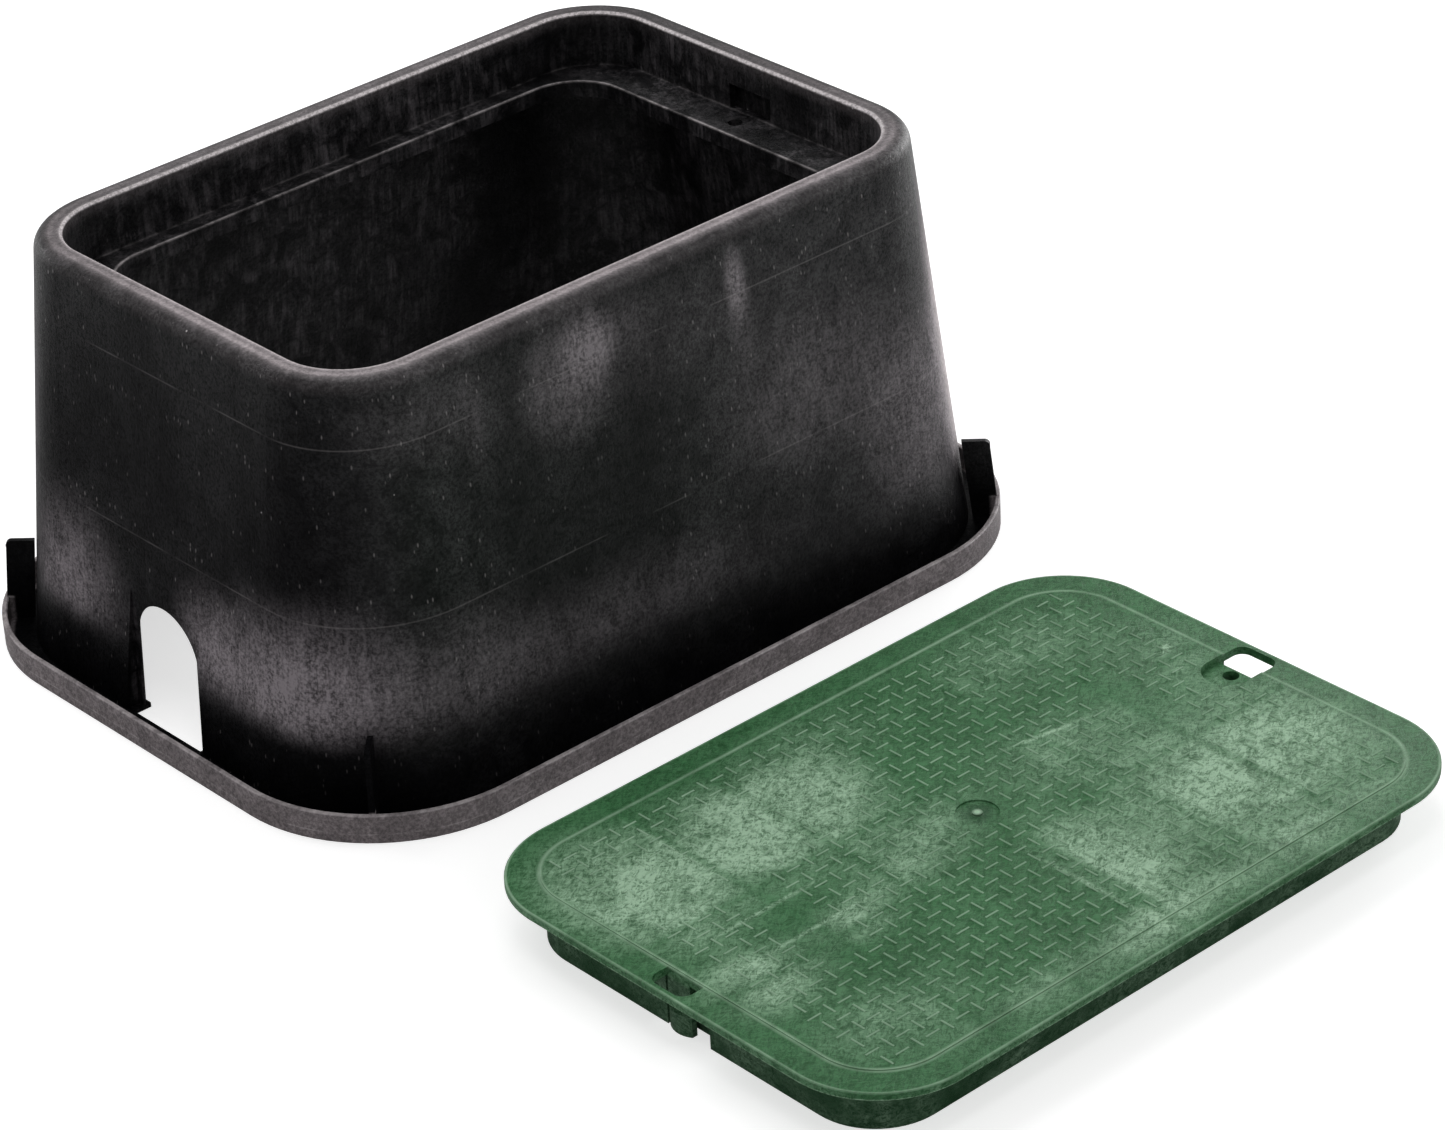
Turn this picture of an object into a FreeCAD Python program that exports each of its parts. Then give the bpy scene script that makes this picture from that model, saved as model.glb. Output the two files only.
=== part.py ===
import FreeCAD, Part
import math
import os
from FreeCAD import Vector

# Seat opening that the cover drops into: every outline follows it
opening_length = 496.0
opening_width = 328.0
opening_corner = 50.0

# Box wall and rim
body_height = 305.0
wall_thickness = 5.5
wall_draft = math.radians(6.3)
rim_width = 19.0
rim_outer_round = 10.0
rim_inner_bevel = 1.5
deck_thickness = 5.0
seat_wall_thickness = 5.0

# Ledge under the cover, with its downturned lip and its bolt holes
ledge_drop = 41.0
ledge_thickness = 5.0
ledge_end_width = 31.2
ledge_side_width = 15.0
ledge_corner = 40.0
ledge_lip_drop = 12.0
ledge_lip_thickness = 4.0
bolt_inset = 14.5
ledge_hole_radius = 5.3

# Catch window in each end of the seat wall, just above the ledge
catch_window_width = 42.0
catch_window_height = 19.0

# Webs that tie the seat wall to the outer wall under the deck
web_thickness = 4.0
web_spacing = 74.0
side_web_count = 5
end_web_count = 2

# Base flange: a channel floor round the foot, closed by an upstanding lip
toe_end = 19.3
toe_side = 22.3
toe_corner = 16.6
floor_thickness = 3.5
base_lip_height = 20.5
base_lip_thickness = 3.8
base_lip_bevel = 0.8

# Corner gussets that stand in the channel
gusset_height = 65.0
gusset_thickness = 4.0
gusset_top_inset = 10.3
gusset_foot_inset = 2.4
gusset_round = 5.0

# Arched pipe opening in each end wall, in an upright panel that the drafted wall leaves behind
arch_radius = 32.7
arch_centre_height = 61.0
arch_edge = 1.0
arch_bevel_rate = 1.2
panel_top = 95.5
panel_half_top = 35.2
panel_top_depth = 0.6
panel_side_draft = math.radians(4.5)
sill_inset = 1.8

# Cover: plate, flange and skirt
cover_height = 44.0
flange_over_end = 18.7
flange_over_side = 22.6
flange_corner_gain = 18.0
flange_thickness = 5.6
flange_bevel = 0.8
field_rise = 0.8
field_inset_end = 22.2
field_inset_side = 22.1
field_corner_loss = 21.9
plate_thickness = 4.5
skirt_thickness = 4.0
skirt_clearance = 2.5

# Cover: bolt recess and window at one end, lift hole and catch at the other
recess_half_width = 17.0
recess_lead = 4.0
recess_depth = 5.0
recess_floor_thickness = 4.0
recess_wall_thickness = 3.5
window_outer_inset = 4.2
window_corner = 8.0
bolt_web = 1.4
cover_hole_radius = 5.6
bolt_boss_radius = 9.0
bolt_boss_drop = 7.5
lift_half_width = 16.0
catch_gap_half_width = 19.0
catch_low_y = -3.0
catch_high_y = 17.0
catch_bulge = 3.0
catch_head_room = 1.0
catch_back_room = 5.0
pocket_wall_thickness = 3.0

# Cover: moulding gate in the middle of the top
gate_dish_radius = 14.0
gate_dish_depth = 1.2
gate_button_radius = 3.5
gate_button_height = 0.9

# Cover: ribs under the plate, placed from the middle outwards
rib_thickness = 3.0
rib_depth = 12.0
cross_rib_places = (-156.0, -88.0, 0.0, 88.0, 156.0)
long_rib_places = (-37.0, 37.0)

# Cover: tread on the raised field, a basket weave of short bars
bar_pitch = 12.3
bar_length = 11.4
bar_width = 1.9
bar_height = 0.9
bar_hip = 1.2
tread_margin = 14.0
smooth_pad_cells = 13
smooth_pad_half_length = 18.4
smooth_pad_half_width = 55.3
smooth_edge = 1.0

# Place of the cover beside the box, lying on its skirt
cover_gap = 81.6
cover_shift = -40.2

# Allowance by which a cutting shape runs past the face that it cuts
past = 2.0

# Sizes that follow from the ones above
draft_rate = math.tan(wall_draft)
ledge_top = body_height - ledge_drop
ledge_bottom = ledge_top - ledge_thickness
foot_spread = rim_width + body_height * draft_rate
base_length = opening_length + 2 * (foot_spread + toe_end)
base_width = opening_width + 2 * (foot_spread + toe_side)
base_corner = opening_corner + foot_spread + toe_corner
bolt_x = opening_length / 2 - bolt_inset
cover_length = opening_length + 2 * flange_over_end
cover_width = opening_width + 2 * flange_over_side
cover_corner = opening_corner + flange_corner_gain
flange_top = cover_height - field_rise
flange_bottom = flange_top - flange_thickness
skirt_length = opening_length - 2 * skirt_clearance
skirt_width = opening_width - 2 * skirt_clearance
skirt_corner = opening_corner - skirt_clearance
plate_bottom = cover_height - plate_thickness
cover_y = -(base_width + cover_width) / 2 - cover_gap


def wall_spread(z):
    """Distance from the opening's edge out to the wall's outer face at height z."""
    return rim_width + (body_height - z) * draft_rate


def mid_wall_spread(z):
    """Distance from the opening's edge out to the middle of the wall."""
    return wall_spread(z) - wall_thickness / 2


def polygon_wire(corners):
    """Closed wire through the corners given."""
    return Part.makePolygon(corners + corners[:1])


def rounded_wire(length, width, radius, z):
    """Rectangle with round corners, centred on the Z axis."""
    x = length / 2
    y = width / 2
    cut = radius * (1 - math.sqrt(0.5))
    edges = []
    for turn in range(4):
        half, cross = (x, y) if turn % 2 == 0 else (y, x)
        side = [
            Part.LineSegment(Vector(half, radius - cross, z), Vector(half, cross - radius, z)),
            Part.Arc(Vector(half, cross - radius, z), Vector(half - cut, cross - cut, z),
                     Vector(half - radius, cross, z)),
        ]
        for curve in side:
            edge = curve.toShape()
            edge.rotate(Vector(), Vector(0, 0, 1), 90 * turn)
            edges.append(edge)
    return Part.Wire(edges)


def rounded_prism(length, width, radius, z_low, z_high):
    """Upright block with round corners."""
    face = Part.Face(rounded_wire(length, width, radius, z_low))
    return face.extrude(Vector(0, 0, z_high - z_low))


def block(x_low, x_high, y_low, y_high, z_low, z_high):
    """Plain block between two corners."""
    return Part.makeBox(x_high - x_low, y_high - y_low, z_high - z_low, Vector(x_low, y_low, z_low))


def edges_at(shape, z):
    """Edges that lie wholly at one height."""
    return [e for e in shape.Edges if abs(e.BoundBox.ZMin - z) < 1e-4 and abs(e.BoundBox.ZMax - z) < 1e-4]


def at_both_ends(shape):
    """The shape and its half turn about the Z axis."""
    other = shape.copy()
    other.rotate(Vector(), Vector(0, 0, 1), 180)
    return [shape, other]


def wall_section():
    """Section through rim and wall: seat wall, deck, rounded rim and drafted wall."""
    def at(spread, z):
        return Vector(opening_corner + spread, 0, z)

    inner = rim_inner_bevel
    outer = rim_outer_round
    centre_spread = rim_width - outer * (1 - math.sin(wall_draft)) / math.cos(wall_draft)
    centre_z = body_height - outer
    half_way = (math.pi / 2 + wall_draft) / 2
    arc_end = at(centre_spread + outer * math.cos(wall_draft), centre_z + outer * math.sin(wall_draft))
    arc_mid = at(centre_spread + outer * math.cos(half_way), centre_z + outer * math.sin(half_way))
    deck_bottom = body_height - deck_thickness
    curves = [
        Part.LineSegment(at(0, ledge_bottom), at(0, body_height - inner)),
        Part.LineSegment(at(0, body_height - inner), at(inner, body_height)),
        Part.LineSegment(at(inner, body_height), at(centre_spread, body_height)),
        Part.Arc(at(centre_spread, body_height), arc_mid, arc_end),
        Part.LineSegment(arc_end, at(foot_spread, 0)),
        Part.LineSegment(at(foot_spread, 0), at(foot_spread - wall_thickness, 0)),
        Part.LineSegment(at(foot_spread - wall_thickness, 0),
                         at(wall_spread(deck_bottom) - wall_thickness, deck_bottom)),
        Part.LineSegment(at(wall_spread(deck_bottom) - wall_thickness, deck_bottom),
                         at(seat_wall_thickness, deck_bottom)),
        Part.LineSegment(at(seat_wall_thickness, deck_bottom), at(seat_wall_thickness, ledge_bottom)),
        Part.LineSegment(at(seat_wall_thickness, ledge_bottom), at(0, ledge_bottom)),
    ]
    return Part.Face(Part.Wire([curve.toShape() for curve in curves]))


def carried_round(section):
    """Carry a section round the opening: revolved at each corner, straight along each side."""
    x = opening_length / 2 - opening_corner
    y = opening_width / 2 - opening_corner
    corners = [Vector(x, -y, 0), Vector(x, y, 0), Vector(-x, y, 0), Vector(-x, -y, 0)]
    pieces = []
    for turn, corner in enumerate(corners):
        bend = section.copy()
        bend.rotate(Vector(), Vector(0, 0, 1), 90 * (turn - 1))
        bend.translate(corner)
        pieces.append(bend.revolve(corner, Vector(0, 0, 1), 90))
        run = section.copy()
        run.rotate(Vector(), Vector(0, 0, 1), 90 * turn)
        run.translate(corner)
        pieces.append(run.extrude(corners[(turn + 1) % 4] - corner))
    return pieces[0].multiFuse(pieces[1:]).removeSplitter()


def ledge():
    """Ledge that closes the seat from below, with a lip turned down round its opening."""
    inner_length = opening_length - 2 * ledge_end_width
    inner_width = opening_width - 2 * ledge_side_width
    plate = rounded_prism(opening_length + seat_wall_thickness, opening_width + seat_wall_thickness,
                          opening_corner + seat_wall_thickness / 2, ledge_bottom, ledge_top)
    lip = rounded_prism(inner_length + 2 * ledge_lip_thickness, inner_width + 2 * ledge_lip_thickness,
                        ledge_corner + ledge_lip_thickness, ledge_top - ledge_lip_drop, ledge_top)
    hole = rounded_prism(inner_length, inner_width, ledge_corner,
                         ledge_top - ledge_lip_drop - past, ledge_top + past)
    return plate.fuse(lip).cut(hole)


def under_deck_webs():
    """Short upright webs between seat wall and outer wall, spaced along each side."""
    z_low = ledge_bottom
    z_high = body_height - deck_thickness / 2
    start = seat_wall_thickness / 2
    webs = []
    sides = [(opening_length / 2, 0, end_web_count), (opening_width / 2, 90, side_web_count)]
    for half, turn, count in sides:
        face = Part.Face(polygon_wire([
            Vector(half + start, 0, z_low),
            Vector(half + mid_wall_spread(z_low), 0, z_low),
            Vector(half + mid_wall_spread(z_high), 0, z_high),
            Vector(half + start, 0, z_high),
        ]))
        for index in range(count):
            web = face.extrude(Vector(0, web_thickness, 0))
            web.translate(Vector(0, (index - (count - 1) / 2) * web_spacing - web_thickness / 2, 0))
            web.rotate(Vector(), Vector(0, 0, 1), turn)
            webs.extend(at_both_ends(web))
    return webs


def base_flange():
    """Channel floor from the middle of the wall outwards, with an upstanding lip."""
    inner_spread = 2 * mid_wall_spread(0)
    outer = rounded_prism(base_length, base_width, base_corner, 0, base_lip_height)
    channel = rounded_prism(base_length - 2 * base_lip_thickness, base_width - 2 * base_lip_thickness,
                            base_corner - base_lip_thickness, floor_thickness, base_lip_height + past)
    foot_hole = rounded_prism(opening_length + inner_spread, opening_width + inner_spread,
                              opening_corner + inner_spread / 2, -past, base_lip_height)
    flange = outer.cut(channel).cut(foot_hole)
    return flange.makeChamfer(base_lip_bevel, edges_at(flange, base_lip_height))


def gussets():
    """One upright gusset on each corner's diagonal, from the wall out to the lip."""
    foot = base_corner - gusset_foot_inset
    top = base_corner - gusset_top_inset
    shoulder = top + gusset_round * math.sin(math.radians(50))
    shoulder_z = gusset_height - gusset_round
    arc_mid = Vector(top + gusset_round * 0.6, 0, gusset_height - gusset_round * 0.25)
    wall_low = base_corner - toe_corner - wall_thickness / 2
    wall_high = wall_low - gusset_height * draft_rate
    outline = [
        Part.LineSegment(Vector(wall_low, 0, 0), Vector(foot, 0, 0)),
        Part.LineSegment(Vector(foot, 0, 0), Vector(foot, 0, base_lip_height - base_lip_bevel)),
        Part.LineSegment(Vector(foot, 0, base_lip_height - base_lip_bevel), Vector(shoulder, 0, shoulder_z)),
        Part.Arc(Vector(shoulder, 0, shoulder_z), arc_mid, Vector(top, 0, gusset_height)),
        Part.LineSegment(Vector(top, 0, gusset_height), Vector(wall_high, 0, gusset_height)),
        Part.LineSegment(Vector(wall_high, 0, gusset_height), Vector(wall_low, 0, 0)),
    ]
    plate = Part.Face(Part.Wire([curve.toShape() for curve in outline]))
    plate = plate.extrude(Vector(0, gusset_thickness, 0))
    plate.translate(Vector(0, -gusset_thickness / 2, 0))
    x = base_length / 2 - base_corner
    y = base_width / 2 - base_corner
    placed = []
    for sign_x, sign_y, turn in ((1, 1, 45), (-1, 1, 135), (-1, -1, 225), (1, -1, 315)):
        gusset = plate.copy()
        gusset.rotate(Vector(), Vector(0, 0, 1), turn)
        gusset.translate(Vector(sign_x * x, sign_y * y, 0))
        placed.append(gusset)
    return placed


def arch_wire(grow, x):
    """Arch outline in an upright plane at x: a round top on jambs that spread towards the foot."""
    radius = arch_radius + grow
    spring_y = radius * math.cos(panel_side_draft)
    spring_z = arch_centre_height + radius * math.sin(panel_side_draft)
    foot_y = spring_y + (spring_z - floor_thickness) * math.tan(panel_side_draft)
    right_spring = Vector(x, -spring_y, spring_z)
    left_spring = Vector(x, spring_y, spring_z)
    right_foot = Vector(x, -foot_y, floor_thickness)
    left_foot = Vector(x, foot_y, floor_thickness)
    return Part.Wire([
        Part.LineSegment(right_spring, right_foot).toShape(),
        Part.LineSegment(right_foot, left_foot).toShape(),
        Part.LineSegment(left_foot, left_spring).toShape(),
        Part.Arc(left_spring, Vector(x, 0, arch_centre_height + radius), right_spring).toShape(),
    ])


def panel_face(grow, z_low, x):
    """Panel outline in an upright plane at x: level on top, with sides that spread towards the foot."""
    top = panel_top + grow
    half_top = panel_half_top + grow
    half_low = half_top + (top - z_low) * math.tan(panel_side_draft)
    return Part.Face(polygon_wire([
        Vector(x, -half_low, z_low),
        Vector(x, half_low, z_low),
        Vector(x, half_top, top),
        Vector(x, -half_top, top),
    ]))


def panel_backing():
    """Material behind the panel, where the wall steps in to stay as thick as elsewhere."""
    end = opening_length / 2
    back_x = end + wall_spread(panel_top) - panel_top_depth - wall_thickness
    back_top = panel_top + wall_thickness
    wedge = Part.Face(polygon_wire([
        Vector(back_x, -base_width, 0),
        Vector(end + mid_wall_spread(0), -base_width, 0),
        Vector(end + mid_wall_spread(back_top), -base_width, back_top),
        Vector(back_x, -base_width, back_top),
    ])).extrude(Vector(0, 2 * base_width, 0))
    outline = panel_face(wall_thickness, 0, back_x).extrude(Vector(base_length, 0, 0))
    return at_both_ends(wedge.common(outline))


def panel_cuts():
    """Cuts for the panel and its arch, whose edge is bevelled from inside, down through the foot."""
    end = opening_length / 2
    face_x = end + wall_spread(panel_top) - panel_top_depth
    inside_x = face_x - wall_thickness - past
    outer_x = end + foot_spread + past
    front = panel_face(0, floor_thickness, face_x).extrude(Vector(outer_x - face_x, 0, 0))
    edge_x = face_x - arch_edge
    edge = Part.Face(arch_wire(0, edge_x)).extrude(Vector(outer_x - edge_x, 0, 0))
    bevel = Part.makeLoft([arch_wire(0, edge_x), arch_wire(arch_bevel_rate * (edge_x - inside_x), inside_x)],
                          True, True)
    foot_y = max(abs(vertex.Y) for vertex in edge.Vertexes)
    sill_x = end + wall_spread(floor_thickness) - sill_inset
    sill = block(inside_x, sill_x, -foot_y, foot_y, -past, floor_thickness)
    return [cut for tool in (front, edge, bevel, sill) for cut in at_both_ends(tool)]


def seat_cuts():
    """Bolt hole through each end of the ledge and catch window in the seat wall above it."""
    hole = Part.makeCylinder(ledge_hole_radius, ledge_thickness + 2 * past,
                             Vector(bolt_x, 0, ledge_bottom - past))
    window = block(opening_length / 2 - past, opening_length / 2 + seat_wall_thickness + past,
                   -catch_window_width / 2, catch_window_width / 2,
                   ledge_top, ledge_top + catch_window_height)
    return at_both_ends(hole) + at_both_ends(window)


def box_body():
    """The whole box: one moulding, open above and below."""
    body = carried_round(wall_section())
    body = body.multiFuse([ledge(), base_flange()] + under_deck_webs() + gussets() + panel_backing())
    for tool in panel_cuts() + seat_cuts():
        body = body.cut(tool)
    return body.removeSplitter()


def recess_wire(grow, x_end, end_round, z):
    """Outline of the bolt recess: round at its inner end, small corners at its outer end."""
    half = recess_half_width + grow
    start = bolt_x - recess_lead
    stop = x_end
    r = end_round
    cut = r * (1 - math.sqrt(0.5))
    return Part.Wire([
        Part.Arc(Vector(start, half, z), Vector(start - half, 0, z), Vector(start, -half, z)).toShape(),
        Part.LineSegment(Vector(start, -half, z), Vector(stop - r, -half, z)).toShape(),
        Part.Arc(Vector(stop - r, -half, z), Vector(stop - cut, cut - half, z),
                 Vector(stop, r - half, z)).toShape(),
        Part.LineSegment(Vector(stop, r - half, z), Vector(stop, half - r, z)).toShape(),
        Part.Arc(Vector(stop, half - r, z), Vector(stop - cut, half - cut, z),
                 Vector(stop - r, half, z)).toShape(),
        Part.LineSegment(Vector(stop - r, half, z), Vector(start, half, z)).toShape(),
    ])


def cover_shell():
    """Plate, raised field, flange and skirt of the cover, hollow from below."""
    flange = rounded_prism(cover_length, cover_width, cover_corner, flange_bottom, flange_top)
    flange = flange.makeChamfer(flange_bevel, edges_at(flange, flange_top) + edges_at(flange, flange_bottom))
    field = rounded_prism(cover_length - 2 * field_inset_end, cover_width - 2 * field_inset_side,
                          cover_corner - field_corner_loss, flange_bottom, cover_height)
    skirt = rounded_prism(skirt_length, skirt_width, skirt_corner, 0, flange_top - past)
    hollow = rounded_prism(skirt_length - 2 * skirt_thickness, skirt_width - 2 * skirt_thickness,
                           skirt_corner - skirt_thickness, -past, plate_bottom)
    return flange.multiFuse([field, skirt]).cut(hollow).removeSplitter()


def cover_ribs():
    """Grid of ribs under the plate, from skirt to skirt."""
    x = skirt_length / 2 - skirt_thickness / 2
    y = skirt_width / 2 - skirt_thickness / 2
    half = rib_thickness / 2
    low = plate_bottom - rib_depth
    high = plate_bottom + plate_thickness / 2
    ribs = [block(place - half, place + half, -y, y, low, high) for place in cross_rib_places]
    ribs += [block(-x, x, place - half, place + half, low, high) for place in long_rib_places]
    return ribs


def bolt_recess():
    """Material round the bolt recess, and the cuts for recess, window and bolt hole."""
    stop = cover_length / 2 - window_outer_inset
    window_start = bolt_x + cover_hole_radius + bolt_web
    recess_floor = cover_height - recess_depth
    floor_bottom = recess_floor - recess_floor_thickness
    around = Part.Face(recess_wire(recess_wall_thickness, skirt_length / 2, past, floor_bottom))
    around = around.extrude(Vector(0, 0, plate_bottom + plate_thickness / 2 - floor_bottom))
    recess = Part.Face(recess_wire(0, stop, window_corner, recess_floor))
    recess = recess.extrude(Vector(0, 0, recess_depth + past))
    window = Part.Face(recess_wire(0, stop, window_corner, -past))
    window = window.extrude(Vector(0, 0, cover_height + 2 * past))
    window = window.common(block(window_start, stop, -cover_width, cover_width, -past, cover_height + past))
    boss_bottom = floor_bottom - bolt_boss_drop
    boss = Part.makeCylinder(bolt_boss_radius, recess_floor - boss_bottom - past, Vector(bolt_x, 0, boss_bottom))
    hole = Part.makeCylinder(cover_hole_radius, recess_floor - boss_bottom + 2 * past,
                             Vector(bolt_x, 0, boss_bottom - past))
    return [around, boss], [recess, window, hole]


def lift_hole():
    """Finger hole through the flange at the other end, outside the skirt."""
    stop = cover_length / 2 - window_outer_inset
    outline = Part.Face(recess_wire(lift_half_width - recess_half_width, stop, window_corner, flange_bottom - past))
    hole = outline.extrude(Vector(0, 0, cover_height - flange_bottom + 2 * past))
    hole = hole.common(block(skirt_length / 2, stop, -cover_width, cover_width, 0, cover_height + past))
    hole.rotate(Vector(), Vector(0, 0, 1), 180)
    return hole


def catch():
    """Pocket in the skirt under the lift hole, and the sprung catch that stands in its mouth."""
    outer = -skirt_length / 2
    back = outer + skirt_thickness + catch_back_room
    wall_half = catch_gap_half_width + pocket_wall_thickness
    wall = block(outer + skirt_thickness / 2, back + pocket_wall_thickness, -wall_half, wall_half,
                 0, plate_bottom + plate_thickness / 2)
    hollow = block(outer - past, back, -catch_gap_half_width, catch_gap_half_width, -past, flange_bottom)
    tongue = block(outer, outer + skirt_thickness, catch_low_y, catch_high_y, 0, flange_bottom + past)
    half = (catch_high_y - catch_low_y) / 2
    middle = (catch_high_y + catch_low_y) / 2
    seated_bottom = body_height - flange_bottom
    nose_height = ledge_top + catch_window_height - catch_head_room - seated_bottom
    nose = Part.Face(Part.Wire([
        Part.Arc(Vector(outer, middle - half, 0), Vector(outer - catch_bulge, middle, 0),
                 Vector(outer, middle + half, 0)).toShape(),
        Part.LineSegment(Vector(outer, middle + half, 0), Vector(outer, middle - half, 0)).toShape(),
    ])).extrude(Vector(0, 0, nose_height))
    return wall, hollow, tongue.fuse(nose)


def tread_bar():
    """One bar of the tread, lying along X on the field: a low roof with hipped ends."""
    x = bar_length / 2
    y = bar_width / 2
    low = cover_height
    ridge = x - bar_hip
    corners = [Vector(-x, -y, low), Vector(x, -y, low), Vector(x, y, low), Vector(-x, y, low)]
    start = Vector(-ridge, 0, low + bar_height)
    end = Vector(ridge, 0, low + bar_height)
    sides = [
        [corners[3], corners[2], corners[1], corners[0]],
        [corners[0], corners[1], end, start],
        [corners[2], corners[3], start, end],
        [corners[1], corners[2], end],
        [corners[3], corners[0], start],
    ]
    return Part.Solid(Part.Shell([Part.Face(polygon_wire(side)) for side in sides]))


def bar_has_room(x, y):
    """Whether a bar may stand here: on the field, clear of gate mark, bolt recess and smooth pads."""
    half_bar = bar_length / 2
    field_corner = cover_corner - field_corner_loss
    over_x = abs(x) + half_bar - (cover_length / 2 - field_inset_end - field_corner)
    over_y = abs(y) + half_bar - (cover_width / 2 - field_inset_side - field_corner)
    if over_x > 0 and over_y > 0 and math.hypot(over_x, over_y) > field_corner:
        return False
    if math.hypot(x, y) < gate_dish_radius + half_bar:
        return False
    recess_start = bolt_x - recess_half_width - recess_lead
    if x + half_bar > recess_start - smooth_edge and abs(y) - half_bar < recess_half_width + smooth_edge:
        return False
    from_pad = abs(abs(x) - smooth_pad_cells * bar_pitch)
    return from_pad > smooth_pad_half_length or abs(y) > smooth_pad_half_width


def tread():
    """Basket weave over the field: bars along X and along Y take turns in both directions."""
    columns = int((cover_length / 2 - field_inset_end - tread_margin) / bar_pitch)
    rows = int((cover_width / 2 - field_inset_side - tread_margin) / bar_pitch)
    along = tread_bar()
    across = along.copy()
    across.rotate(Vector(), Vector(0, 0, 1), 90)
    bars = []
    for column in range(-columns, columns + 1):
        for row in range(-rows, rows + 1):
            x = column * bar_pitch
            y = row * bar_pitch
            if bar_has_room(x, y):
                bar = (across if (column + row) % 2 == 0 else along).copy()
                bar.translate(Vector(x, y, 0))
                bars.append(bar)
    return bars


def gate_mark():
    """Shallow dish with a small button, where the moulding was filled."""
    dish = Part.makeCylinder(gate_dish_radius, gate_dish_depth + past,
                             Vector(0, 0, cover_height - gate_dish_depth))
    button = Part.makeCylinder(gate_button_radius, gate_dish_depth + gate_button_height,
                               Vector(0, 0, cover_height - gate_dish_depth - gate_button_height))
    return dish, button


def cover():
    """The cover: one moulding, lying on its skirt beside the box."""
    recess_walls, recess_cuts = bolt_recess()
    pocket, hollow, tongue = catch()
    dish, button = gate_mark()
    shell = cover_shell().multiFuse(cover_ribs() + recess_walls + [pocket])
    for tool in recess_cuts + [lift_hole(), hollow, dish]:
        shell = shell.cut(tool)
    shell = shell.multiFuse([tongue, button]).removeSplitter()
    shell = shell.multiFuse(tread())
    shell.translate(Vector(cover_shift, cover_y, 0))
    return shell


os.makedirs("parts", exist_ok=True)
for name, maker in (("box_body", box_body), ("cover", cover)):
    shape = maker()
    print(name, shape.isValid(), len(shape.Solids), round(shape.Volume), shape.BoundBox)
    shape.exportStep("parts/" + name + ".step")
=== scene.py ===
import math
import bpy
from mathutils import Matrix, Vector

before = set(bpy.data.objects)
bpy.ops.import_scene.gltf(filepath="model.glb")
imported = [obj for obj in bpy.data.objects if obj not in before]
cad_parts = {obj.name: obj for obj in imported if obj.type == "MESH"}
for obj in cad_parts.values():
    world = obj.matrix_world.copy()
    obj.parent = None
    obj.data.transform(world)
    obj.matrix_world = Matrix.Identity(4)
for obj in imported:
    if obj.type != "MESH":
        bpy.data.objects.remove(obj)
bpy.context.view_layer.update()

scene = bpy.context.scene
bpy.ops.object.select_all(action="DESELECT")


# Camera
# A long lens on a tripod, above and to the left of the box, turned a little about its own axis.
# The frame of the picture is 1445 by 1130, and the lens is given for its width.
CAMERA_AZIMUTH = math.radians(-40.77)
CAMERA_ELEVATION = math.radians(30.10)
CAMERA_ROLL = math.radians(-3.2)
CAMERA_TARGET = Vector((0.1075, -0.1057, 0.0))
CAMERA_DISTANCE = 3.3784
FOCAL_PIXELS = 4819.5
PICTURE_WIDTH = 1445
SENSOR_WIDTH = 36.0

back = Vector((
    math.sin(CAMERA_AZIMUTH) * math.cos(CAMERA_ELEVATION),
    -math.cos(CAMERA_AZIMUTH) * math.cos(CAMERA_ELEVATION),
    math.sin(CAMERA_ELEVATION),
))
level_right = Vector((math.cos(CAMERA_AZIMUTH), math.sin(CAMERA_AZIMUTH), 0.0))
level_up = back.cross(level_right)
right = level_right * math.cos(CAMERA_ROLL) + level_up * math.sin(CAMERA_ROLL)
up = level_up * math.cos(CAMERA_ROLL) - level_right * math.sin(CAMERA_ROLL)
bpy.ops.object.camera_add()
camera = bpy.context.object
camera.name = "camera"
camera.data.sensor_fit = "HORIZONTAL"
camera.data.sensor_width = SENSOR_WIDTH
camera.data.lens = FOCAL_PIXELS / PICTURE_WIDTH * SENSOR_WIDTH
camera.data.clip_end = 50.0
turned = Matrix((right, up, back)).transposed().to_4x4()
turned.translation = CAMERA_TARGET + back * CAMERA_DISTANCE
camera.matrix_world = turned
scene.camera = camera


# Light
# Soft boxes in a pale room that only the camera sees as pure white. The large ones stand overhead
# towards the back and at the front right. A narrow one over the near corner draws the rim, and
# faint ones at the left and low behind each end give the edges of the box their light.
def soft_box(name, place, aim, width, height, watts):
    bpy.ops.object.light_add(type="AREA", location=place)
    lamp = bpy.context.object
    lamp.name = name
    lamp.data.shape = "RECTANGLE"
    lamp.data.size = width
    lamp.data.size_y = height
    lamp.data.energy = watts
    lamp.rotation_euler = (Vector(aim) - Vector(place)).to_track_quat("-Z", "Y").to_euler()
    return lamp


soft_box("overhead_light", (0.2, 1.0, 2.4), (0.0, -0.2, 0.1), 2.2, 1.6, 26.0)
soft_box("left_light", (-2.3, 0.3, 1.0), (0.0, 0.0, 0.15), 1.2, 1.6, 2.0)
soft_box("rim_light", (-0.95, -1.30, 2.70), (-0.25, -0.15, 0.30), 0.9, 0.16, 7.0)
soft_box("right_edge_light", (1.70, 0.05, 0.40), (0.28, -0.12, 0.15), 0.9, 0.7, 11.0)
soft_box("left_edge_light", (-0.42, 1.70, 0.40), (-0.27, 0.15, 0.17), 0.7, 0.6, 6.0)
soft_box("right_light", (1.9, -1.9, 1.5), (0.0, -0.2, 0.1), 1.4, 1.2, 12.0)

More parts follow.
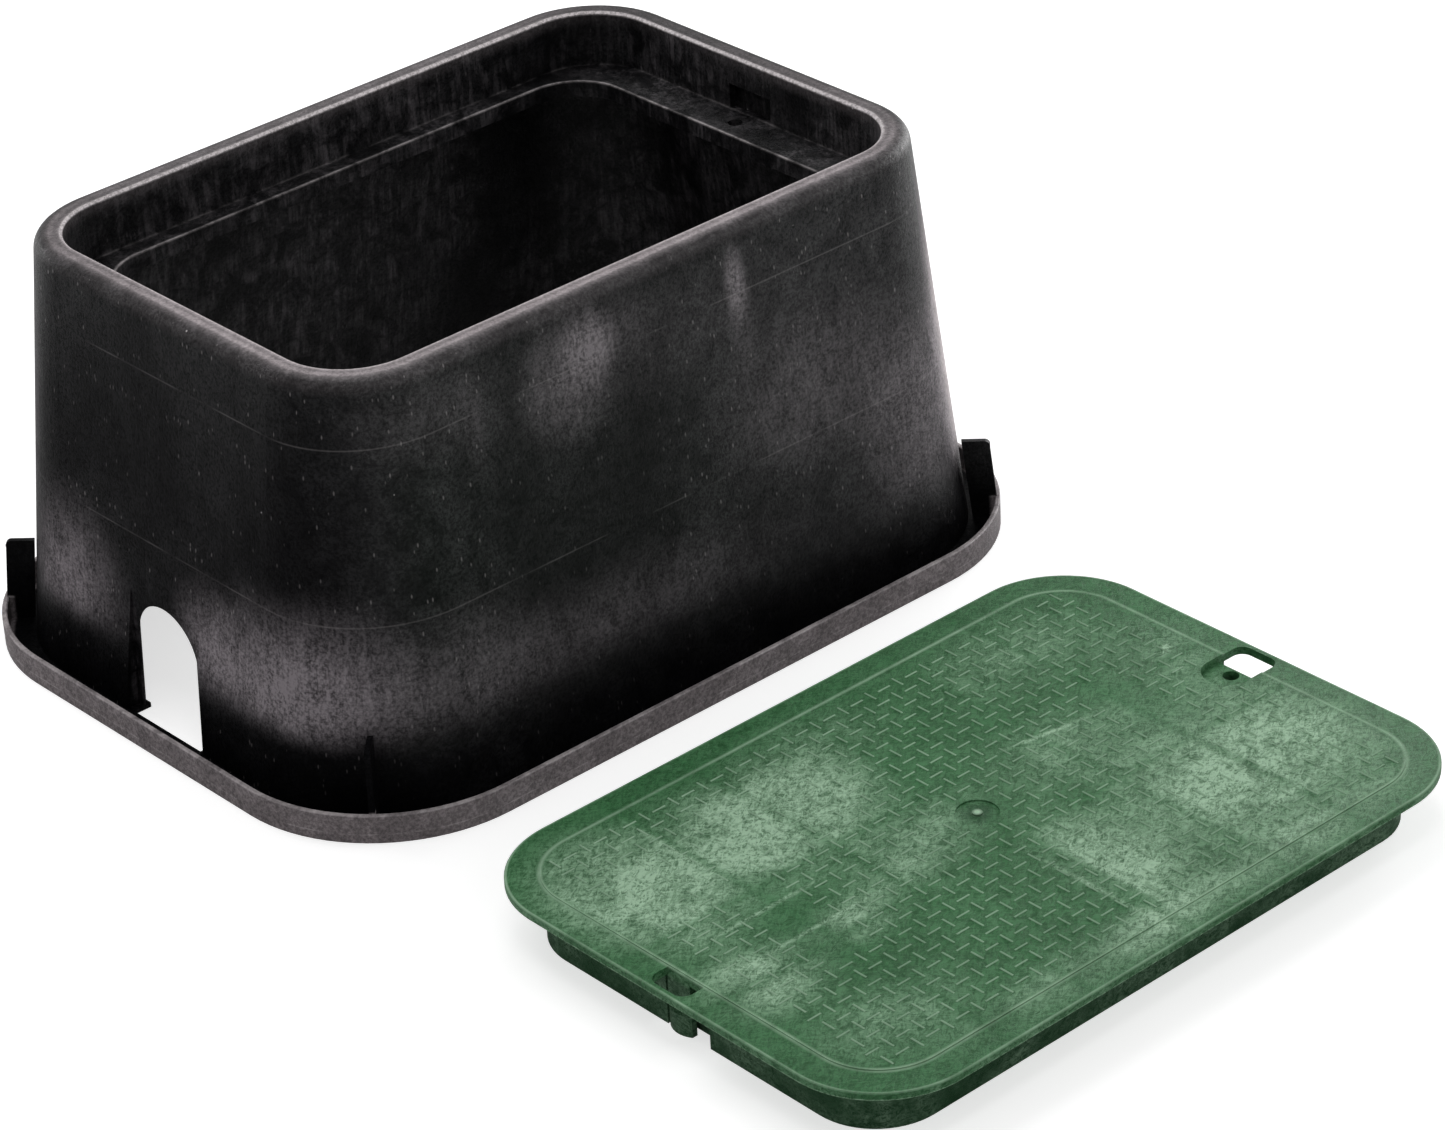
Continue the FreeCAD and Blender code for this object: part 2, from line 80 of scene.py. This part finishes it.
ROOM_LIGHT = 0.32
ROOM_SHINE = 0.45
world = bpy.data.worlds.new("pale_room")
scene.world = world
world.use_nodes = True
room = world.node_tree
room.nodes.clear()
room_out = room.nodes.new("ShaderNodeOutputWorld")
room_path = room.nodes.new("ShaderNodeLightPath")
room_white = room.nodes.new("ShaderNodeBackground")
room_white.inputs["Color"].default_value = (1.0, 1.0, 1.0, 1.0)
room_glow = room.nodes.new("ShaderNodeBackground")
room_glow.inputs["Color"].default_value = (1.0, 1.0, 1.0, 1.0)
room_shine = room.nodes.new("ShaderNodeMath")
room_shine.operation = "MULTIPLY_ADD"
room_shine.inputs[1].default_value = ROOM_SHINE - ROOM_LIGHT
room_shine.inputs[2].default_value = ROOM_LIGHT
room.links.new(room_path.outputs["Is Glossy Ray"], room_shine.inputs[0])
room.links.new(room_shine.outputs[0], room_glow.inputs["Strength"])
room_mix = room.nodes.new("ShaderNodeMixShader")
room.links.new(room_path.outputs["Is Camera Ray"], room_mix.inputs[0])
room.links.new(room_glow.outputs[0], room_mix.inputs[1])
room.links.new(room_white.outputs[0], room_mix.inputs[2])
room.links.new(room_mix.outputs[0], room_out.inputs["Surface"])
scene.view_settings.view_transform = "Standard"


# Floor
# A seamless white sweep, far larger than the object. It glows just enough to come out white
# and keeps the soft contact shadow of box and cover.
FLOOR_SIZE = 14.0
FLOOR_GLOW = 0.62
FLOOR_COLOUR = (0.75, 0.75, 0.75, 1.0)
bpy.ops.mesh.primitive_plane_add(size=FLOOR_SIZE, location=(0.0, 0.0, 0.0))
floor = bpy.context.object
floor.name = "floor"
floor_paint = bpy.data.materials.new("white_sweep")
floor_paint.use_nodes = True
nodes = floor_paint.node_tree.nodes
links = floor_paint.node_tree.links
nodes.clear()
out = nodes.new("ShaderNodeOutputMaterial")
paper = nodes.new("ShaderNodeBsdfDiffuse")
paper.inputs["Color"].default_value = FLOOR_COLOUR
glow = nodes.new("ShaderNodeEmission")
path = nodes.new("ShaderNodeLightPath")
seen_through = nodes.new("ShaderNodeMath")
seen_through.operation = "MAXIMUM"
strength = nodes.new("ShaderNodeMath")
strength.operation = "MULTIPLY"
strength.inputs[1].default_value = FLOOR_GLOW
both = nodes.new("ShaderNodeAddShader")
links.new(path.outputs["Is Camera Ray"], seen_through.inputs[0])
links.new(path.outputs["Is Transmission Ray"], seen_through.inputs[1])
links.new(seen_through.outputs[0], strength.inputs[0])
links.new(strength.outputs[0], glow.inputs["Strength"])
links.new(paper.outputs[0], both.inputs[0])
links.new(glow.outputs[0], both.inputs[1])
links.new(both.outputs[0], out.inputs["Surface"])
floor.data.materials.append(floor_paint)


# Box body
# One structural-foam moulding in black polyethylene: drafted wall, rounded rim, ledge and foot.
# Its skin is satin, streaked upwards by the flow of the melt, and scuffed grey where it has been
# handled, on the rim and on the lip of the foot. Broad hazy grey patches, strongest low on the
# corners, are painted highlight and reflection mixed with that scuffing; rim and edges carry painted
# highlights.
OPENING_HALF = (0.248, 0.164)
OPENING_CORNER = 0.050
LEDGE_OPENING_HALF = (0.2168, 0.149)
LEDGE_CORNER = 0.040
LEDGE_TOP = 0.264
RIM_TOP = 0.305
RIM_WIDTH = 0.019
DRAFT_RATE = 0.1104
LIP_TOP = 0.0205
SHUT_LINES = (0.259, 0.138)


# Shading steps for this moulding, and for the cover further down. Every pattern is worked out
# in metres from Object coordinates, so it stays with its moulding.
def step(tree, operation, first, second=0.0, third=0.0):
    node = tree.nodes.new("ShaderNodeMath")
    node.operation = operation
    for socket, value in zip(node.inputs, (first, second, third)):
        if isinstance(value, (int, float)):
            socket.default_value = value
        else:
            tree.links.new(value, socket)
    return node.outputs[0]


def scaled(tree, value, gain, base):
    return step(tree, "MULTIPLY_ADD", value, gain, base)


def ramp(tree, value, low, high):
    node = tree.nodes.new("ShaderNodeMapRange")
    node.interpolation_type = "SMOOTHSTEP"
    node.inputs["From Min"].default_value = min(low, high)
    node.inputs["From Max"].default_value = max(low, high)
    node.inputs["To Min"].default_value = 0.0 if low < high else 1.0
    node.inputs["To Max"].default_value = 1.0 if low < high else 0.0
    tree.links.new(value, node.inputs["Value"])
    return node.outputs["Result"]


def product(tree, *factors):
    result = factors[0]
    for factor in factors[1:]:
        result = step(tree, "MULTIPLY", result, factor)
    return result


def moved(tree, vector, centre=(0.0, 0.0, 0.0), stretch=(1.0, 1.0, 1.0), turn=0.0):
    node = tree.nodes.new("ShaderNodeMapping")
    node.vector_type = "TEXTURE"
    node.inputs["Location"].default_value = centre
    node.inputs["Rotation"].default_value = (0.0, 0.0, turn)
    node.inputs["Scale"].default_value = stretch
    tree.links.new(vector, node.inputs["Vector"])
    return node.outputs["Vector"]


def noise(tree, vector, scale, detail=4.0, roughness=0.6, distortion=0.0):
    node = tree.nodes.new("ShaderNodeTexNoise")
    node.inputs["Scale"].default_value = scale
    node.inputs["Detail"].default_value = detail
    node.inputs["Roughness"].default_value = roughness
    node.inputs["Distortion"].default_value = distortion
    tree.links.new(vector, node.inputs["Vector"])
    return node.outputs[0]


def axes_of(tree, vector):
    node = tree.nodes.new("ShaderNodeSeparateXYZ")
    tree.links.new(vector, node.inputs[0])
    return node.outputs[0], node.outputs[1], node.outputs[2]


def outside_distance(tree, vector, half_length, half_width, corner):
    x, y, z = axes_of(tree, vector)
    past_x = step(tree, "SUBTRACT", step(tree, "ABSOLUTE", x), half_length - corner)
    past_y = step(tree, "SUBTRACT", step(tree, "ABSOLUTE", y), half_width - corner)
    over_x = step(tree, "MAXIMUM", past_x, 0.0)
    over_y = step(tree, "MAXIMUM", past_y, 0.0)
    squares = step(tree, "ADD", product(tree, over_x, over_x), product(tree, over_y, over_y))
    return step(tree, "SUBTRACT", step(tree, "SQRT", squares), corner)


def near(tree, value, centre, reach):
    return ramp(tree, step(tree, "ABSOLUTE", step(tree, "SUBTRACT", value, centre)), reach, 0.0)


def cloud(tree, vector, centre, reach, turn=0.0):
    node = tree.nodes.new("ShaderNodeVectorMath")
    node.operation = "LENGTH"
    tree.links.new(moved(tree, vector, centre, reach, turn), node.inputs[0])
    return ramp(tree, node.outputs["Value"], 1.0, 0.0)


def mixed(tree, factor, first, second):
    node = tree.nodes.new("ShaderNodeMix")
    node.data_type = "RGBA"
    for name, value in (("Factor", factor), ("A", first), ("B", second)):
        socket = [s for s in node.inputs if s.name == name and s.enabled][0]
        if isinstance(value, tuple):
            socket.default_value = value
        else:
            tree.links.new(value, socket)
    return [s for s in node.outputs if s.enabled][0]


def grain_bump(tree, height, distance, strength, below=None):
    node = tree.nodes.new("ShaderNodeBump")
    node.inputs["Strength"].default_value = strength
    node.inputs["Distance"].default_value = distance
    tree.links.new(height, node.inputs["Height"])
    if below is not None:
        tree.links.new(below, node.inputs["Normal"])
    return node.outputs["Normal"]


black = bpy.data.materials.new("black_plastic_scuffed")
black.use_nodes = True
tree = black.node_tree
shader = tree.nodes["Principled BSDF"]
place = tree.nodes.new("ShaderNodeTexCoord").outputs["Object"]
x, y, z = axes_of(tree, place)
from_opening = outside_distance(tree, place, *OPENING_HALF, OPENING_CORNER)
wall_place = scaled(tree, z, -DRAFT_RATE, RIM_WIDTH + RIM_TOP * DRAFT_RATE)
from_wall = step(tree, "SUBTRACT", from_opening, wall_place)
outer = ramp(tree, from_wall, -0.0045, -0.0015)
inner = step(tree, "SUBTRACT", 1.0, outer)
foot_part = ramp(tree, from_wall, 0.0006, 0.0014)
wall = step(tree, "SUBTRACT", outer, foot_part)

warp = noise(tree, place, 9.0, 3.0)
streak = noise(tree, moved(tree, place, stretch=(1.0, 1.0, 9.0)), 260.0, 5.0, 0.65, 0.4)
streak = ramp(tree, streak, 0.40, 0.66)
mottle = ramp(tree, noise(tree, place, 48.0, 8.0, 0.68, 0.8), 0.36, 0.66)
fine = ramp(tree, noise(tree, place, 420.0, 5.0, 0.75), 0.38, 0.64)
broad = noise(tree, moved(tree, place, stretch=(1.0, 1.0, 1.8)), 7.5, 4.0, 0.6, 0.5)
broad = ramp(tree, broad, 0.36, 0.66)

# Hazy patches of the wall, painted highlight and reflection mixed with scuffing: centre, reach and
# strength
HAZE_AND_SHEEN_PATCHES = (
    ((-0.066, -0.187, 0.268), (0.030, 0.060, 0.036), 1.00),
    ((-0.086, -0.187, 0.254), (0.050, 0.060, 0.060), 0.55),
    ((-0.040, -0.187, 0.275), (0.040, 0.060, 0.030), 0.25),
    ((0.062, -0.187, 0.266), (0.012, 0.060, 0.036), 0.95),
    ((0.062, -0.187, 0.250), (0.020, 0.060, 0.060), 0.25),
    ((-0.165, -0.187, 0.255), (0.014, 0.060, 0.050), 0.16),
    ((0.120, -0.200, 0.175), (0.120, 0.080, 0.080), 0.42),
    ((0.215, -0.190, 0.120), (0.085, 0.100, 0.100), 0.70),
    ((0.262, -0.170, 0.150), (0.045, 0.080, 0.180), 1.00),
    ((0.272, -0.158, 0.145), (0.060, 0.070, 0.175), 1.30),
    ((-0.262, 0.172, 0.190), (0.030, 0.050, 0.120), 0.80),
    ((-0.290, -0.110, 0.070), (0.085, 0.090, 0.090), 1.15),
    ((-0.262, -0.155, 0.085), (0.070, 0.075, 0.085), 1.00),
    ((-0.286, -0.050, 0.085), (0.050, 0.050, 0.060), 0.80),
    ((-0.290, 0.105, 0.072), (0.050, 0.080, 0.090), 0.95),
    ((-0.100, -0.206, 0.080), (0.240, 0.060, 0.050), 0.28),
    ((-0.200, -0.195, 0.095), (0.090, 0.070, 0.060), 0.30),
    ((-0.200, -0.190, 0.270), (0.080, 0.060, 0.045), 0.18),
    ((-0.020, -0.190, 0.250), (0.200, 0.060, 0.050), 0.12),
)
haze_and_sheen = 0.0
for centre, reach, strength in HAZE_AND_SHEEN_PATCHES:
    haze_and_sheen = scaled(tree, cloud(tree, place, centre, reach), strength, haze_and_sheen)
ragged = scaled(tree, streak, 0.30, scaled(tree, mottle, 0.28, 0.12))
ragged = scaled(tree, fine, 0.60, ragged)
foot_shade = ramp(tree, scaled(tree, warp, 0.02, z), 0.050, 0.085)
haze_and_sheen = product(tree, haze_and_sheen, ragged, foot_shade, wall)

# Far corner: painted highlight, almost white from ledge to foot, where the corner turns to the light
corner_highlight_patch = cloud(tree, place, (0.271, -0.160, 0.140), (0.050, 0.060, 0.170))
corner_highlight_grain = scaled(tree, fine, 0.45, scaled(tree, mottle, 0.35, 0.60))
painted_corner_highlight = product(tree, corner_highlight_patch, wall, foot_shade, corner_highlight_grain)

# Flecks: short upright dashes in the skin, one in a few cells
cells = tree.nodes.new("ShaderNodeTexVoronoi")
cells.inputs["Scale"].default_value = 310.0
tree.links.new(moved(tree, place, stretch=(1.0, 1.0, 2.6)), cells.inputs["Vector"])
picked = step(tree, "GREATER_THAN", axes_of(tree, cells.outputs["Color"])[0], 0.80)
fleck = ramp(tree, cells.outputs["Distance"], 0.26, 0.10)
fleck = product(tree, fleck, picked, scaled(tree, broad, 0.8, 0.2))
dots = tree.nodes.new("ShaderNodeTexVoronoi")
dots.inputs["Scale"].default_value = 38.0
tree.links.new(place, dots.inputs["Vector"])
dot = product(tree, ramp(tree, dots.outputs["Distance"], 0.035, 0.02),
              step(tree, "GREATER_THAN", axes_of(tree, dots.outputs["Color"])[1], 0.86))

# Shut lines of the mould, faint and broken
line = 0.0
for height in SHUT_LINES:
    broken = ramp(tree, noise(tree, moved(tree, place, (0.0, 0.0, height)), 14.0, 2.0), 0.40, 0.58)
    line = scaled(tree, near(tree, z, height, 0.0009), broken, line)
line = product(tree, line, wall)

# Rim: worn grey on its round mixed with painted highlight, brightest along the near side and fainter
# towards the right end, with a painted highlight line on the round and one along the inner edge
rim_crest = ramp(tree, z, RIM_TOP - 0.012, RIM_TOP - 0.003)
rim = product(tree, rim_crest, ramp(tree, from_opening, -0.0005, 0.0008))
rim_fade = scaled(tree, ramp(tree, from_opening, 0.0165, 0.0030), 0.92, 0.08)
rim_near_highlight = ramp(tree, step(tree, "SUBTRACT", y, product(tree, x, -0.25)), 0.14, -0.06)
rim_near_highlight = scaled(tree, rim_near_highlight, 0.62, 0.38)
rim_highlight_line = near(tree, from_opening, 0.0092, 0.0024)
rim_highlight_gap = near(tree, from_opening, 0.0048, 0.0026)
rim_highlight_lines = scaled(tree, rim_highlight_line, 0.35, scaled(tree, rim_highlight_gap, -0.35, 0.85))
rim_calm = scaled(tree, ramp(tree, x, 0.17, 0.26), -0.55, 1.0)
rim_wear_and_highlight = product(tree, rim, rim_near_highlight, rim_fade, rim_calm, rim_highlight_lines, scaled(tree, mottle, 0.25, 0.72),
                   scaled(tree, fine, 0.45, 0.65))
rim_edge_highlight = product(tree, near(tree, from_opening, 0.0008, 0.0022),
                   ramp(tree, z, RIM_TOP - 0.003, RIM_TOP - 0.001),
                   scaled(tree, fine, 0.8, 0.5))

# Ledge: its edges catch the light, its top stays dark
from_ledge = outside_distance(tree, place, *LEDGE_OPENING_HALF, LEDGE_CORNER)
ledge_level = near(tree, z, LEDGE_TOP, 0.0016)
ledge_edge = near(tree, from_ledge, 0.0004, 0.0022)
ledge_edge = product(tree, ledge_edge, ledge_level, scaled(tree, mottle, 1.0, 0.2))
ledge_corner = product(tree, near(tree, from_opening, 0.0, 0.0022), ledge_level, mottle)

# Lip of the foot: scuffed grey outside, with painted highlights along its top edge and in a line lower on
# its face
lip_face = product(tree, ramp(tree, step(tree, "ADD", from_opening, -0.0705), -0.004, -0.001),
                   ramp(tree, z, LIP_TOP + 0.002, LIP_TOP - 0.0005))
lip_wear = product(tree, lip_face, scaled(tree, mottle, 0.30, 0.70), scaled(tree, fine, 0.6, 0.6))
lip_edge_highlight = product(tree, lip_face, near(tree, z, LIP_TOP, 0.0013), scaled(tree, mottle, 0.9, 0.2))
lip_highlight_line = product(tree, lip_face, near(tree, z, 0.0065, 0.0008), mottle)

# Trough between wall and lip: painted shade leaves it nearly black
trough_shade = product(tree, ramp(tree, z, 0.062, 0.030), outer, step(tree, "SUBTRACT", 1.0, lip_face))

BLACK_DEEP = (0.0020, 0.0020, 0.0024, 1.0)
BLACK_MOTTLED = (0.0170, 0.0165, 0.0185, 1.0)
GREY_HAZE_AND_SHEEN = (0.300, 0.270, 0.290, 1.0)
GREY_WEAR_AND_HIGHLIGHT = (0.680, 0.600, 0.620, 1.0)
GREY_MARK_AND_HIGHLIGHT = (0.800, 0.740, 0.750, 1.0)
grain = product(tree, scaled(tree, mottle, 0.7, 0.3), scaled(tree, fine, 0.7, 0.2),
                scaled(tree, broad, 0.7, 0.3))
colour = mixed(tree, grain, BLACK_DEEP, BLACK_MOTTLED)
colour = mixed(tree, haze_and_sheen, colour, GREY_HAZE_AND_SHEEN)
fleck_strength = scaled(tree, wall, 0.21, product(tree, inner, 0.06))
colour = mixed(tree, product(tree, fleck_strength, fleck), colour, GREY_MARK_AND_HIGHLIGHT)
colour = mixed(tree, product(tree, dot, 0.7), colour, GREY_MARK_AND_HIGHLIGHT)
colour = mixed(tree, product(tree, painted_corner_highlight, 1.25), colour, GREY_MARK_AND_HIGHLIGHT)
colour = mixed(tree, product(tree, inner, streak, mottle, broad, 0.30), colour, GREY_HAZE_AND_SHEEN)
colour = mixed(tree, product(tree, line, 0.09), colour, GREY_MARK_AND_HIGHLIGHT)
colour = mixed(tree, rim_wear_and_highlight, colour, GREY_WEAR_AND_HIGHLIGHT)
colour = mixed(tree, product(tree, lip_wear, 0.42), colour, GREY_WEAR_AND_HIGHLIGHT)
colour = mixed(tree, product(tree, trough_shade, 0.6), colour, BLACK_DEEP)
# Painted highlights along the edges of rim, ledge and lip
edge_highlights = rim_edge_highlight
for edge, edge_strength in ((ledge_edge, 0.45), (ledge_corner, 0.12), (lip_edge_highlight, 0.50), (lip_highlight_line, 0.30)):
    edge_highlights = step(tree, "MAXIMUM", edge_highlights, product(tree, edge, edge_strength))
colour = mixed(tree, edge_highlights, colour, GREY_MARK_AND_HIGHLIGHT)
tree.links.new(colour, shader.inputs["Base Color"])
gloss = product(tree, scaled(tree, grain, 0.60, 0.13), scaled(tree, trough_shade, -0.6, 1.0),
               scaled(tree, ramp(tree, x, -0.285, -0.225), 0.88, 0.12))
tree.links.new(gloss, shader.inputs["Specular IOR Level"])
dull = scaled(tree, mottle, 0.14, scaled(tree, haze_and_sheen, 0.5, 0.30))
tree.links.new(dull, shader.inputs["Roughness"])
waves = noise(tree, moved(tree, place, stretch=(1.0, 1.0, 2.2)), 16.0, 2.0)
waves = grain_bump(tree, waves, 0.0030, 0.25)
skin = scaled(tree, streak, 0.5, fine)
tree.links.new(grain_bump(tree, skin, 0.0004, 0.35, waves), shader.inputs["Normal"])

body_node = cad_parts["box_body"]
body_node.data.materials.clear()
body_node.data.materials.append(black)


# Cover
# One moulding in green polyethylene with a raised tread, lying on its skirt. The top is bleached
# and rubbed pale in fields between the ribs that show through from below, and stays deeper green
# over the ribs, in the middle and round the edge. The bars of the tread are worn lightest. Painted
# shade darkens the dish in the middle and the skirt under the flange, and painted highlights run
# along the edges and the step round the field.
COVER_CENTRE = (-0.0402, -0.50717, 0.0)
COVER_HALF = (0.2667, 0.1866)
COVER_CORNER = 0.068
FIELD_INSET = 0.0221
FIELD_TOP = 0.0440
FLANGE_BOTTOM = 0.0376
BAR_HEIGHT = 0.0009
CROSS_RIBS = (-0.156, -0.088, 0.0, 0.088, 0.156)
LONG_RIBS = (-0.037, 0.037)

green = bpy.data.materials.new("green_plastic_scuffed")
green.use_nodes = True
tree = green.node_tree
shader = tree.nodes["Principled BSDF"]
place = moved(tree, tree.nodes.new("ShaderNodeTexCoord").outputs["Object"], COVER_CENTRE)
x, y, z = axes_of(tree, place)
from_edge = outside_distance(tree, place, *COVER_HALF, COVER_CORNER)
top_face = ramp(tree, z, FLANGE_BOTTOM + 0.0040, FLANGE_BOTTOM + 0.0052)
field = ramp(tree, from_edge, -FIELD_INSET, -FIELD_INSET - 0.006)
raised = ramp(tree, z, FIELD_TOP + 0.05 * BAR_HEIGHT, FIELD_TOP + 0.45 * BAR_HEIGHT)

cloudy = ramp(tree, noise(tree, place, 22.0, 5.0, 0.6, 0.8), 0.30, 0.70)
hairs = noise(tree, moved(tree, place, stretch=(2.6, 1.0, 1.0), turn=0.6), 250.0, 5.0, 0.75, 1.6)
hairs = ramp(tree, hairs, 0.42, 0.58)
cross_hairs = noise(tree, moved(tree, place, stretch=(1.0, 2.4, 1.0), turn=0.9), 190.0, 5.0, 0.75, 2.2)
cross_hairs = ramp(tree, cross_hairs, 0.42, 0.58)
fibres = scaled(tree, hairs, 0.55, step(tree, "MULTIPLY", cross_hairs, 0.45))

# Bleached fields: centre, reach, turn and strength
PALE_FIELDS = (
    ((-0.080, 0.088, 0.044), (0.090, 0.080, 0.1), 0.0, 1.35),
    ((-0.130, 0.085, 0.044), (0.065, 0.090, 0.1), 0.0, 0.70),
    ((-0.205, 0.088, 0.044), (0.080, 0.100, 0.1), 0.0, 1.40),
    ((-0.055, 0.000, 0.044), (0.095, 0.050, 0.1), 0.3, 0.65),
    ((-0.215, -0.035, 0.044), (0.060, 0.055, 0.1), 0.0, 0.95),
    ((-0.135, -0.030, 0.044), (0.045, 0.032, 0.1), 0.0, 0.75),
    ((0.030, -0.100, 0.044), (0.055, 0.095, 0.1), 0.15, 1.05),
    ((0.120, -0.088, 0.044), (0.080, 0.105, 0.1), 0.0, 1.15),
    ((0.195, -0.080, 0.044), (0.085, 0.105, 0.1), 0.0, 1.00),
    ((0.095, 0.012, 0.044), (0.095, 0.055, 0.1), 0.0, 0.50),
    ((0.215, 0.050, 0.044), (0.060, 0.070, 0.1), 0.0, 0.42),
    ((0.150, 0.115, 0.044), (0.100, 0.060, 0.1), 0.0, 0.35),
    ((-0.020, 0.130, 0.044), (0.080, 0.050, 0.1), 0.0, 0.35),
    ((-0.190, -0.120, 0.044), (0.080, 0.050, 0.1), 0.0, 0.40),
    ((-0.060, -0.165, 0.044), (0.180, 0.030, 0.1), 0.0, 0.45),
    ((-0.015, -0.165, 0.044), (0.055, 0.026, 0.1), 0.0, 0.85),
    ((0.120, -0.165, 0.044), (0.130, 0.028, 0.1), 0.0, 0.70),
)
pale = 0.06
for centre, reach, turn, strength in PALE_FIELDS:
    pale = scaled(tree, cloud(tree, place, centre, reach, turn), strength, pale)
ghost = 0.0
for rib_x in CROSS_RIBS:
    ghost = step(tree, "MAXIMUM", ghost, near(tree, x, rib_x, 0.0075))
for rib_y in LONG_RIBS:
    ghost = step(tree, "MAXIMUM", ghost, near(tree, y, rib_y, 0.0075))
uneven = scaled(tree, cloudy, 0.70, 0.40)
pale = product(tree, pale, uneven, scaled(tree, ghost, -0.55, 1.0), scaled(tree, field, 0.20, 0.80))

# Rubbed streaks beside the ribs: centre, reach, turn and strength
RUBBED_STREAKS = (
    ((-0.010, -0.112, 0.044), (0.0030, 0.075, 0.1), 0.0, 0.60),
    ((0.009, -0.120, 0.044), (0.0045, 0.065, 0.1), 0.0, 0.85),
    ((0.016, -0.120, 0.044), (0.0080, 0.060, 0.1), 0.08, 0.40),
    ((-0.165, 0.017, 0.044), (0.075, 0.0030, 0.1), 0.0, 0.75),
    ((-0.150, -0.019, 0.044), (0.090, 0.0030, 0.1), 0.0, 0.60),
    ((0.092, 0.033, 0.044), (0.050, 0.0035, 0.1), -0.17, 0.70),
    ((0.222, 0.048, 0.044), (0.012, 0.0050, 0.1), 0.5, 0.90),
    ((0.150, -0.126, 0.044), (0.045, 0.0040, 0.1), 0.1, 0.65),
    ((-0.160, 0.110, 0.044), (0.0040, 0.055, 0.1), 0.0, 0.45),
    ((-0.088, 0.100, 0.044), (0.0040, 0.060, 0.1), 0.0, 0.35),
)
rubbed = 0.0
for centre, reach, turn, strength in RUBBED_STREAKS:
    rubbed = scaled(tree, cloud(tree, place, centre, reach, turn), strength, rubbed)
# Painted highlights along the top edge, on the step round the field and along the lower edge of the
# flange
edge_highlight_line = near(tree, from_edge, -0.0010, 0.0016)
edge_highlight_line = product(tree, edge_highlight_line, ramp(tree, z, FIELD_TOP - 0.0022, FIELD_TOP - 0.0012))
field_step_highlight = product(tree, near(tree, from_edge, -FIELD_INSET, 0.0032), scaled(tree, cloudy, 0.55, 0.40))
flange_edge_highlight = near(tree, z, FLANGE_BOTTOM + 0.0008, 0.0012)
flange_edge_highlight = product(tree, flange_edge_highlight, ramp(tree, from_edge, -0.003, -0.001), fibres)
wear_and_highlight = scaled(tree, pale, scaled(tree, fibres, 1.15, 0.16), product(tree, rubbed, fibres, 1.1))
wear_and_highlight = product(tree, wear_and_highlight, top_face)
wear_and_highlight = step(tree, "MAXIMUM", wear_and_highlight, product(tree, raised, scaled(tree, cloudy, 0.30, 0.68)))
wear_and_highlight = step(tree, "MAXIMUM", wear_and_highlight, product(tree, edge_highlight_line, scaled(tree, cloudy, 0.5, 0.25)))
wear_and_highlight = step(tree, "MAXIMUM", wear_and_highlight, product(tree, field_step_highlight, top_face, 0.85))
gate = cloud(tree, place, (0.0, 0.0, FIELD_TOP), (0.017, 0.017, 0.1))
button = cloud(tree, place, (0.0, 0.0, FIELD_TOP), (0.0048, 0.0048, 0.1))
wear_and_highlight = product(tree, wear_and_highlight, scaled(tree, gate, -0.95, 1.0))
wear_and_highlight = step(tree, "MINIMUM", scaled(tree, button, 1.2, wear_and_highlight), 1.0)

GREEN_DEEP = (0.012, 0.078, 0.021, 1.0)
GREEN_MID = (0.052, 0.205, 0.074, 1.0)
GREEN_PALE = (0.400, 0.600, 0.420, 1.0)
GREEN_SHADED = (0.010, 0.050, 0.018, 1.0)
green_grain = scaled(tree, fibres, 0.8, product(tree, cloudy, 0.2))
colour = mixed(tree, green_grain, GREEN_DEEP, GREEN_MID)
# Painted shade in the dish round the gate and on the skirt under the flange
colour = mixed(tree, product(tree, gate, 0.8), colour, GREEN_SHADED)
below_flange = ramp(tree, z, FLANGE_BOTTOM + 0.001, FLANGE_BOTTOM - 0.004)
colour = mixed(tree, product(tree, below_flange, 0.8), colour, GREEN_SHADED)
colour = mixed(tree, wear_and_highlight, colour, GREEN_PALE)
side_scuff_and_highlight = product(tree, step(tree, "SUBTRACT", 1.0, top_face), fibres, cloudy, 0.45)
side_scuff_and_highlight = step(tree, "MAXIMUM", side_scuff_and_highlight, product(tree, flange_edge_highlight, 0.8))
colour = mixed(tree, side_scuff_and_highlight, colour, GREEN_PALE)
tree.links.new(colour, shader.inputs["Base Color"])
shader.inputs["Specular IOR Level"].default_value = 0.20
dull = scaled(tree, wear_and_highlight, 0.22, scaled(tree, cloudy, 0.10, 0.38))
tree.links.new(dull, shader.inputs["Roughness"])
dished = grain_bump(tree, noise(tree, place, 13.0, 2.0), 0.0030, 0.30)
tree.links.new(grain_bump(tree, fibres, 0.0004, 0.45, dished), shader.inputs["Normal"])

cover_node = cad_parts["cover"]
cover_node.data.materials.clear()
cover_node.data.materials.append(green)
